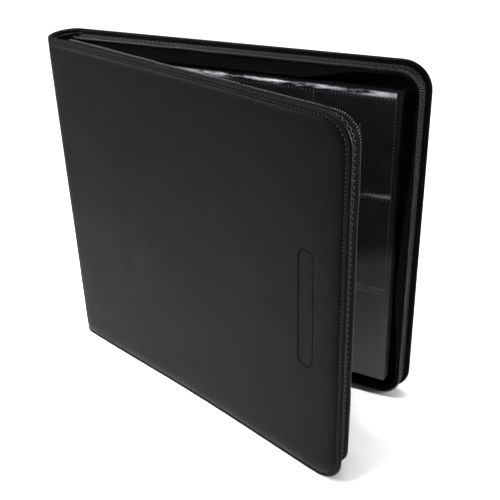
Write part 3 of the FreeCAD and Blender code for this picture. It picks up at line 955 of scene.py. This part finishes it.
def make_lining(name, side):
    """Lining cloth glued over the inner face, from the spine's middle to the turned-in leather."""
    insets = (4.0, 4.4, 5.5, 9.0, 15.0, 20.0)

    def face(u, z, inset):
        wave = noise.noise(Vector((u * 0.03, z * 0.03, 7.0 + side)))
        edge = 0.25 * smooth((4.4 - inset) / 0.5)
        return wall_thick(u) + 0.28 + 0.1 * wave - edge

    piece = plate(f"{name}_lining_cloth", side, cover_lines(SPINE_MIDDLE, 10.0, insets),
                  cover_heights(10.0, insets), lambda u, z, inset: wall_thick(u) + 0.02,
                  face, [], LINING)
    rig.slot(piece, "lining_cloth")
    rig.replaces(piece, f"{name}_cover_lining", "spine_lining")
    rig.sheet(piece, flat=((WIDTH - 4.0 - SPINE_MIDDLE) * MM, (HEIGHT - 8.0) * MM),
             held="stretched", rests_on=[f"{name}_board_core", "spine_board"])
    wall_blend(piece, name, side)
    return piece


# ---- zip ----

def loft(place_row, runs):
    """Closed rows of points along a run; place_row gives one row of points with their UVs."""
    points = []
    uvs = []
    rows = []
    for run in runs:
        row = []
        for point, uv in place_row(run):
            row.append(len(points))
            points.append(point)
            uvs.append(uv)
        row.append(row[0])
        rows.append(row)
    return points, sheet_faces(rows) + end_faces(rows), uvs


def make_tape(name, side):
    """Woven zip tape that stands on the lining all round."""
    start = COVER_START + 0.5
    total, place = edge_run(TAPE_INSET, start)
    half = TAPE_THICK / 2
    section = ((TAPE_LOW, -half), (8.0, -half), (11.0, -half), (14.0, -half), (17.0, -half),
               (TAPE_HIGH, -half * 0.6), (TAPE_HIGH, half * 0.6), (17.0, half), (14.0, half),
               (11.0, half), (8.0, half), (TAPE_LOW, half))

    def row(run):
        u, z = place(run)
        ahead = place(min(run + 0.5, total))
        back = place(max(run - 0.5, 0.0))
        way = Vector((ahead[0] - back[0], ahead[1] - back[1])).normalized()
        out = Vector((way.y, -way.x))
        made = []
        for deep, aside in section:
            rise = (deep - TAPE_LOW) / (TAPE_HIGH - TAPE_LOW)
            ripple = 0.5 * rise * noise.noise(Vector((run * 0.03, 0.4 * rise, 11.0 * side)))
            shift = aside + ripple
            point = wall_point(side, u + out.x * shift, level_depth(side, u, deep),
                               z + out.y * shift)
            made.append((point, (run * MM, (deep + 40.0 * (aside > 0)) * MM)))
        return made

    runs = spaced(0.0, total, 4.0) + [total]
    points, faces, uvs = loft(row, runs)
    piece = new_piece(f"{name}_zip_tape_woven", points, faces, TAPE_CLOTH, uvs=uvs)
    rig.slot(piece, "zip_tape_cloth")
    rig.replaces(piece, f"{name}_zip_tape")
    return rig.ride(piece, f"{name}_cover")


def level_depth(side, u, deep):
    """Keeps the tape's free edge in one plane where the front cover is pressed in."""
    rise = (deep - TAPE_LOW) / (TAPE_HIGH - TAPE_LOW)
    return deep - bow(side, u) * min(max(rise, 0.0), 1.0)


def tape_spot(side, place, total, run, aside, deep):
    """Point beside the tape's middle, with the tape's own ripple."""
    run = min(max(run, 0.0), total)
    u, z = place(run)
    ahead = place(min(run + 0.5, total))
    back = place(max(run - 0.5, 0.0))
    way = Vector((ahead[0] - back[0], ahead[1] - back[1])).normalized()
    rise = (deep - TAPE_LOW) / (TAPE_HIGH - TAPE_LOW)
    shift = aside + 0.5 * rise * noise.noise(Vector((run * 0.03, 0.4 * rise, 11.0 * side)))
    return wall_point(side, u + way.y * shift, level_depth(side, u, deep), z - way.x * shift)


def make_tape_stitches(name, side):
    """Zigzag seams that hold the tape's folded foot, and the row that holds the coil."""
    total, place = edge_run(TAPE_INSET, ZIP_START)
    points = []
    faces = []
    count = round(total / ZIGZAG_PITCH)
    seams = [(8.6, 1.9, ZIGZAG_PITCH / 2), (13.0, 1.9, -ZIGZAG_PITCH / 2)]
    if side > 0:
        seams.append((17.2, 0.0, 0.8))
    for k in range(count):
        run = (k + 0.5) * total / count
        for deep, rise, run_on in seams:
            run_on *= -1 if k % 2 else 1
            aside = TAPE_THICK / 2 + 0.12
            first = tape_spot(side, place, total, run - run_on, aside, deep - rise)
            last = tape_spot(side, place, total, run + run_on, aside, deep + rise)
            along = (last - first).normalized()
            middle = (first + last) / 2
            out = (tape_spot(side, place, total, run, aside + 1, deep)
                   - tape_spot(side, place, total, run, aside, deep)).normalized()
            half = (last - first).length / 2
            bead(middle, along, along.cross(out), out, (half, 0.55 * MM, 0.28 * MM),
                 points, faces, 3, 5)
    piece = new_piece(f"{name}_zip_tape_seams", points, faces, SEAM)
    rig.slot(piece, "zip_tape_cloth")
    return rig.ride(piece, f"{name}_cover")


def make_coil(name, side):
    """Nylon coil sewn along the tape's free edge, with the black cord inside it, whose black also paints the shade
    between the turns.
    """
    total, place = edge_run(TAPE_INSET, ZIP_START)
    turns = round(total / COIL_PITCH)
    points = []
    faces = []
    steps = 8
    path = []
    for k in range(turns * steps + 1):
        turn = 2 * math.pi * k / steps
        run = total * k / (turns * steps)
        path.append(tape_spot(side, place, total, run, COIL_RADIUS * math.cos(turn),
                              COIL_DEPTH + COIL_RADIUS * math.sin(turn)))
    tube(path, COIL_WIRE * MM, 5, points, faces)
    coil_faces = len(faces)
    # The black cord also paints the shade in the gaps between the coil's turns.
    cord = [tape_spot(side, place, total, run, 0.0, COIL_DEPTH)
            for run in spaced(0.0, total, 5.0) + [total]]
    tube(cord, 0.5 * MM, 6, points, faces)
    piece = new_piece(f"{name}_zip_teeth", points, faces, NYLON)
    paint_from(piece, coil_faces, SHADE_AND_CORD_BLACK)
    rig.slot(piece, "coil_nylon")
    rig.replaces(piece, f"{name}_zip_coil")
    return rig.ride(piece, f"{name}_cover")


def guard_width(u, z):
    """The flap is widest along the top and bottom, and narrow round the corners."""
    fore = GUARD_NARROW + GUARD_SWELL * math.exp(-((z - GUARD_SWELL_Z) / 75.0)**2)
    return GUARD_WIDE + (fore - GUARD_WIDE) * smooth((u - 235.0) / 65.0)


def make_guard():
    """Folded cloth flap inside the back half of the zip, with a wavy free edge and a black tube along it as painted
    shadow.
    """
    total, place = edge_run(GUARD_INSET, ZIP_START)
    shares = (0.0, 0.15, 0.35, 0.55, 0.75, 0.9, 0.97, 1.0)

    def row(run):
        u, z = place(run)
        ahead = place(min(run + 0.5, total))
        back = place(max(run - 0.5, 0.0))
        way = Vector((ahead[0] - back[0], ahead[1] - back[1])).normalized()
        width = guard_width(u, z)
        width -= 0.5 + 0.5 * noise.noise(Vector((run * 0.02, 2.0, 5.0)))
        made = []
        for face, shares_used in ((-1, shares), (1, tuple(reversed(shares)))):
            for share in shares_used:
                inward = share * width
                wave = noise.noise(Vector((run * 0.022, 0.5 * share, 9.0)))
                deep = GUARD_DEPTH + share * (1.8 * wave + 0.6)
                hem = 0.25 * math.exp(-((share - 0.9) / 0.05)**2)
                thick = GUARD_THICK / 2 * (1.0 - hem) * (0.35 if share == 1.0 else 1.0)
                point = wall_point(1, u - way.y * inward, deep + face * thick, z + way.x * inward)
                made.append((point, (run * MM, inward * MM)))
        return made

    runs = spaced(0.0, total, 4.0) + [total]
    points, faces, uvs = loft(row, runs)
    cloth_faces = len(faces)
    edge = len(shares) - 1
    # Painted shadow: a black tube along the free edge stands in for the shadow line under the flap.
    edge_shadow_path = [(points[k + edge] + points[k + edge + 1]) / 2
                 for k in range(0, len(points), 2 * len(shares))]
    tube(edge_shadow_path, 0.65 * MM, 6, points, faces)
    uvs += [(0.0, 0.0)] * (len(points) - len(uvs))
    piece = new_piece("zip_guard_cloth", points, faces, GUARD_CLOTH, uvs=uvs)
    paint_from(piece, cloth_faces, SHADE_AND_CORD_BLACK)
    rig.slot(piece, "guard_cloth")
    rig.replaces(piece, "back_zip_guard")
    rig.sheet(piece, flat=(0.0143, total * MM), held="stretched", rests_on=["back_zip_tape_woven"])
    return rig.ride(piece, "back_cover")


# ---- leaves ----

def seam_lines(start, step, count, offsets, low, high):
    """Grid lines that crowd beside each seam."""
    values = [low, high]
    for k in range(count + 1):
        for offset in offsets:
            values += [start + k * step - offset, start + k * step + offset]
    return merged([value for value in values if low <= value <= high], 0.08)


def film_height(q, z):
    """Height of a leaf's face above its middle: pillowed pockets between flat welds."""
    across = (q - POCKET_LEFT) / POCKET_WIDE
    up = (z - POCKET_LOW) / POCKET_TALL
    if not (0 < across < COLUMNS and 0 < up < ROWS):
        return 0.14
    side_gap = POCKET_WIDE * min(across % 1, 1 - across % 1)
    low_gap = POCKET_TALL * (up % 1)
    lip_gap = POCKET_TALL - low_gap
    full = (1 - math.exp(-side_gap / 4.0)) * (1 - math.exp(-low_gap / 4.0))
    lip = 0.3 * math.exp(-lip_gap / 2.2) * (1 - math.exp(-side_gap / 6.0))
    return 0.16 + 0.14 * full + lip


def lip_highlight_share(q, z):
    """Painted highlight: white streaks along the top row's open lip, and a fainter pale band above each lower row."""
    across = (q - POCKET_LEFT) / POCKET_WIDE
    up = (z - POCKET_LOW) / POCKET_TALL
    if not (0 < across < COLUMNS and 0.5 < up < ROWS + 0.01):
        return 0.0
    below_lip = POCKET_TALL * (ROWS - up)
    above_seam = POCKET_TALL * (up - round(up))
    if below_lip < POCKET_TALL / 2:
        return 1 - smooth((below_lip - LIP_HIGHLIGHT_DEEP) / 1.2)
    start = smooth((above_seam - 0.8) / 0.6)
    return 0.28 * start * (1 - smooth((above_seam - LIP_HIGHLIGHT_DEEP - 2.0) / 1.2))


def leaf_places(side, number):
    """Function from (along, height, off the face) to a point on that leaf at rest."""
    joint = JOINTS[f"{'front' if side < 0 else 'back'}_leaf_{number:02d}_flex"]
    angle = side * FOLLOWS[joint["name"]] * OPENING
    axis_x = joint["pos_m"][0] / MM - FOLD_X
    axis_y = joint["pos_m"][1] / MM
    way = (math.cos(angle), math.sin(angle))

    def place(q, z, off):
        turned = smooth(q / LEAF_BEND)
        ahead = (1 + (way[0] - 1) * turned, way[1] * turned)
        x = axis_x + q * ahead[0] - off * ahead[1]
        y = axis_y + q * ahead[1] + off * ahead[0]
        share = max(0.0, q / LEAF_LENGTH)
        ripple = noise.noise(Vector((q * 0.011, z * 0.011, 21.0)))
        y -= 1.1 * share * ripple
        return world(x, y, z)

    return place


def make_leaf(name, side, number):
    place = leaf_places(side, number)
    offsets = (0.12, 0.8, 1.8, 3.5, 7.0, 13.0, 22.0, 34.0)
    alongs = seam_lines(POCKET_LEFT, POCKET_WIDE, COLUMNS, offsets, 6.5, LEAF_LENGTH)
    alongs = merged([-3.5, -1.5, 0.0, 1.5, 3.0, 4.5, LEAF_BEND] + alongs)
    heights = seam_lines(POCKET_LOW, POCKET_TALL, ROWS, offsets + (46.0,), LEAF_LOW, LEAF_HIGH)
    points = []
    lip_highlights = []
    grids = []
    for face in (-1, 1):
        rows = []
        for q in alongs:
            column = []
            for z in heights:
                column.append(len(points))
                points.append(place(q, z, face * film_height(q, z)))
                lip_highlights.append(lip_highlight_share(q, z))
            rows.append(column)
        grids.append(rows)
    low, high = grids
    faces = sheet_faces(low)
    faces += [tuple(reversed(f)) for f in sheet_faces(high)]
    loops = [[column[0] for column in rows] + rows[-1][1:-1]
             + [column[-1] for column in reversed(rows)] + list(reversed(rows[0][1:-1]))
             + [rows[0][0]]
             for rows in (low, high)]
    faces += strip(loops[1], loops[0])
    leaf = f"{name}_leaf_{number:02d}"
    piece = new_piece(f"{leaf}_page", points, faces, PAGE)
    # The lip values carry the painted highlight.
    add_values(piece, "lip", lip_highlights)
    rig.slot(piece, "leaf_film")
    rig.replaces(piece, leaf)
    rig.blend(piece, "spine", leaf, place(0.0, MID, 0.0), place(LEAF_BEND, MID, 0.0))
    return piece


def make_welds(name, side):
    """Dotted welds on the open face of the innermost leaf."""
    place = leaf_places(side, 1)
    face = -side
    points = []
    faces = []
    right = POCKET_LEFT + COLUMNS * POCKET_WIDE
    top = POCKET_LOW + ROWS * POCKET_TALL

    def dot(q, z, upright):
        off = face * (film_height(q, z) + 0.03)
        centre = place(q, z, off)
        along = (place(q + 0.5, z, off) - place(q - 0.5, z, off)).normalized()
        up = (place(q, z + 0.5, off) - place(q, z - 0.5, off)).normalized()
        if upright:
            along, up = up, along
        bead(centre, along, up, along.cross(up), (0.95 * MM, 0.5 * MM, 0.16 * MM),
             points, faces, 3, 5)

    for k in range(COLUMNS + 1):
        q = POCKET_LEFT + k * POCKET_WIDE
        for z in spaced(POCKET_LOW, top, WELD_PITCH):
            dot(q, z, True)
    for k in range(ROWS + 1):
        z = POCKET_LOW + k * POCKET_TALL - (0.6 if k < ROWS else 4.5)
        for q in spaced(POCKET_LEFT, right, WELD_PITCH):
            dot(q, z, True)
    piece = new_piece(f"{name}_leaf_01_welds", points, faces, WELD)
    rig.slot(piece, "leaf_film")
    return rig.ride(piece, f"{name}_leaf_01")


def make_binding():
    """Leaf tabs pressed together, each rounded at the back to sit in the spine."""
    points = []
    faces = []
    front = BINDING_FRONT
    reach = SPINE_RADIUS - SPINE_THICK - 0.5
    dome = 0.25
    half_count = sum(STACKS.values()) // 2
    for k in range(-half_count, half_count):
        low = k * TAB_PITCH + TAB_GAP
        high = (k + 1) * TAB_PITCH - TAB_GAP
        middle = (low + high) / 2
        ring = []
        for y in (low, middle, high):
            back = SPINE_CENTRE - math.sqrt(reach**2 - y**2)
            ring.append((back + 0.12 * (y != middle), y))
        section = ring + [(front - dome, high), (front, high - dome), (front, low + dome),
                          (front - dome, low)]
        rows = []
        wobble = 0.35 * noise.noise(Vector((k * 1.7, 0.0, 4.0)))
        for z, shrink in ((LEAF_LOW + wobble, 0.12), (LEAF_LOW + wobble + 0.3, 0.0), (MID, 0.0),
                          (LEAF_HIGH + wobble - 0.3, 0.0), (LEAF_HIGH + wobble, 0.12)):
            row = []
            for x, y in section:
                row.append(len(points))
                points.append(world(x, middle + (y - middle) * (1 - shrink), z))
            row.append(row[0])
            rows.append(row)
        faces += sheet_faces(rows) + end_faces(rows)
    piece = new_piece("page_binding_tabs", points, faces, TAB, flat=True)
    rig.slot(piece, "tab_film")
    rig.replaces(piece, "page_binding")
    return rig.ride(piece, "spine")


# ---- making ----

def make_covers():
    for name, side in SIDES:
        make_fillers(name, side)
        leather = make_leather(f"{name}_cover_leather", side)
        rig.replaces(leather, f"{name}_cover_skin", "spine_skin")
        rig.padded(leather, fill=0.35)
        stitching = make_stitching(name, side)
        wall_blend(leather, name, side)
        wall_blend(stitching, name, side)
        make_lining(name, side)
        make_tape(name, side)
        make_tape_stitches(name, side)
        make_coil(name, side)
    make_guard()


def make_pages():
    make_binding()
    for name, side in SIDES:
        for number in range(1, STACKS[name] + 1):
            make_leaf(name, side, number)
        make_welds(name, side)


def finish_cad_nodes():
    """Materials of the CAD nodes that stay."""
    for name, material in (("spine_foam", FOAM), ("spine_board", BOARD), ("zip_slider", METAL),
                           ("zip_pull_pin", METAL), ("zip_pull", METAL), ("zip_top_stop", METAL),
                           ("zip_bottom_stop", METAL)):
        mesh = frame["nodes"][name].data
        mesh.materials.clear()
        mesh.materials.append(material)


FLOOR_REACH = 30.0  # metres
CAMERA_SIDE = 34.65  # degrees round from the front cover's side towards the fore-edge
CAMERA_UP = 26.6
CAMERA_ROLL = -1.9
CAMERA_DISTANCE = 710.0
SENSOR = 36.0
FOCAL = 56.3688  # millimetres on that sensor


def make_floor():
    mat, shader = new_material("pale_floor", (0.93, 0.93, 0.935), 0.55, Specular_IOR_Level=0.2)
    specks = noise_of(mat, place_of(mat), 6.0)
    connect(mat, mix_color(mat, specks, (0.92, 0.92, 0.925), (0.94, 0.94, 0.945)), shader,
            "Base Color")
    reach = FLOOR_REACH
    points = [(-reach, -reach, 0), (reach, -reach, 0), (reach, reach, 0), (-reach, reach, 0)]
    mesh = bpy.data.meshes.new("floor")
    mesh.from_pydata(points, [], [(0, 1, 2, 3)])
    mesh.materials.append(mat)
    floor = bpy.data.objects.new("floor", mesh)
    bpy.context.scene.collection.objects.link(floor)
    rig.stage(floor)


def add_light(name, place, target, size, power, spread=180.0):
    data = bpy.data.lights.new(name, "AREA")
    data.spread = math.radians(spread)
    data.shape = "DISK"
    data.size = size
    data.energy = power
    lamp = bpy.data.objects.new(name, data)
    bpy.context.scene.collection.objects.link(lamp)
    lamp.location = place
    lamp.rotation_euler = (Vector(target) - Vector(place)).to_track_quat("-Z", "Y").to_euler()


def make_lights():
    scene = bpy.context.scene
    scene.view_settings.view_transform = "Standard"
    world_data = bpy.data.worlds.new("studio")
    scene.world = world_data
    world_data.use_nodes = True
    sky = world_data.node_tree.nodes["Background"]
    sky.inputs["Color"].default_value = (1, 1, 1, 1)
    sky.inputs["Strength"].default_value = 0.2
    sun = bpy.data.lights.new("overhead", "SUN")
    sun.energy = 3.15
    sun.angle = math.radians(50.0)
    overhead = bpy.data.objects.new("overhead", sun)
    bpy.context.scene.collection.objects.link(overhead)
    overhead.rotation_euler = (math.radians(-6.0), math.radians(-8.0), 0.0)
    add_light("near_floor", (-0.1, -0.25, 1.2), (-0.1, -0.2, 0.0), 0.4, 5.0, 50.0)
    add_light("side_box", (-1.27, -0.85, 0.75), (0.0, -0.05, 0.2), 0.5, 35.0)
    add_light("rear_box", (0.95, 1.35, 0.35), (0.1, 0.05, 0.17), 0.8, 40.0)


def make_camera():
    """At the photograph's angle: above and in front of the front cover, near the fore-edge."""
    azimuth = math.radians(CAMERA_SIDE)
    height = math.radians(CAMERA_UP)
    roll = math.radians(CAMERA_ROLL)
    target = world(200.5, 0.0, 206.0)
    back = Vector((math.sin(azimuth) * math.cos(height), -math.cos(azimuth) * math.cos(height),
                   math.sin(height)))
    right = Vector((0, 0, 1)).cross(back).normalized()
    up = back.cross(right)
    turned_right = right * math.cos(roll) + up * math.sin(roll)
    turned_up = up * math.cos(roll) - right * math.sin(roll)
    data = bpy.data.cameras.new("camera")
    data.sensor_width = SENSOR
    data.lens = FOCAL
    data.shift_x = 0.02
    data.shift_y = -0.096
    camera = bpy.data.objects.new("camera", data)
    bpy.context.scene.collection.objects.link(camera)
    turn = Matrix((turned_right, turned_up, back)).transposed().to_4x4()
    camera.matrix_world = Matrix.Translation(target + back * CAMERA_DISTANCE * MM) @ turn
    bpy.context.scene.camera = camera


make_camera()
make_floor()
make_lights()
make_covers()
make_pages()
finish_cad_nodes()

SIZES = {"cad": [list(corner) for corner in CAD_BOX],
         "visual": [list(corner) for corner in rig.bounds()]}
with open("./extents.json", "w") as size_file:
    json.dump(SIZES, size_file)
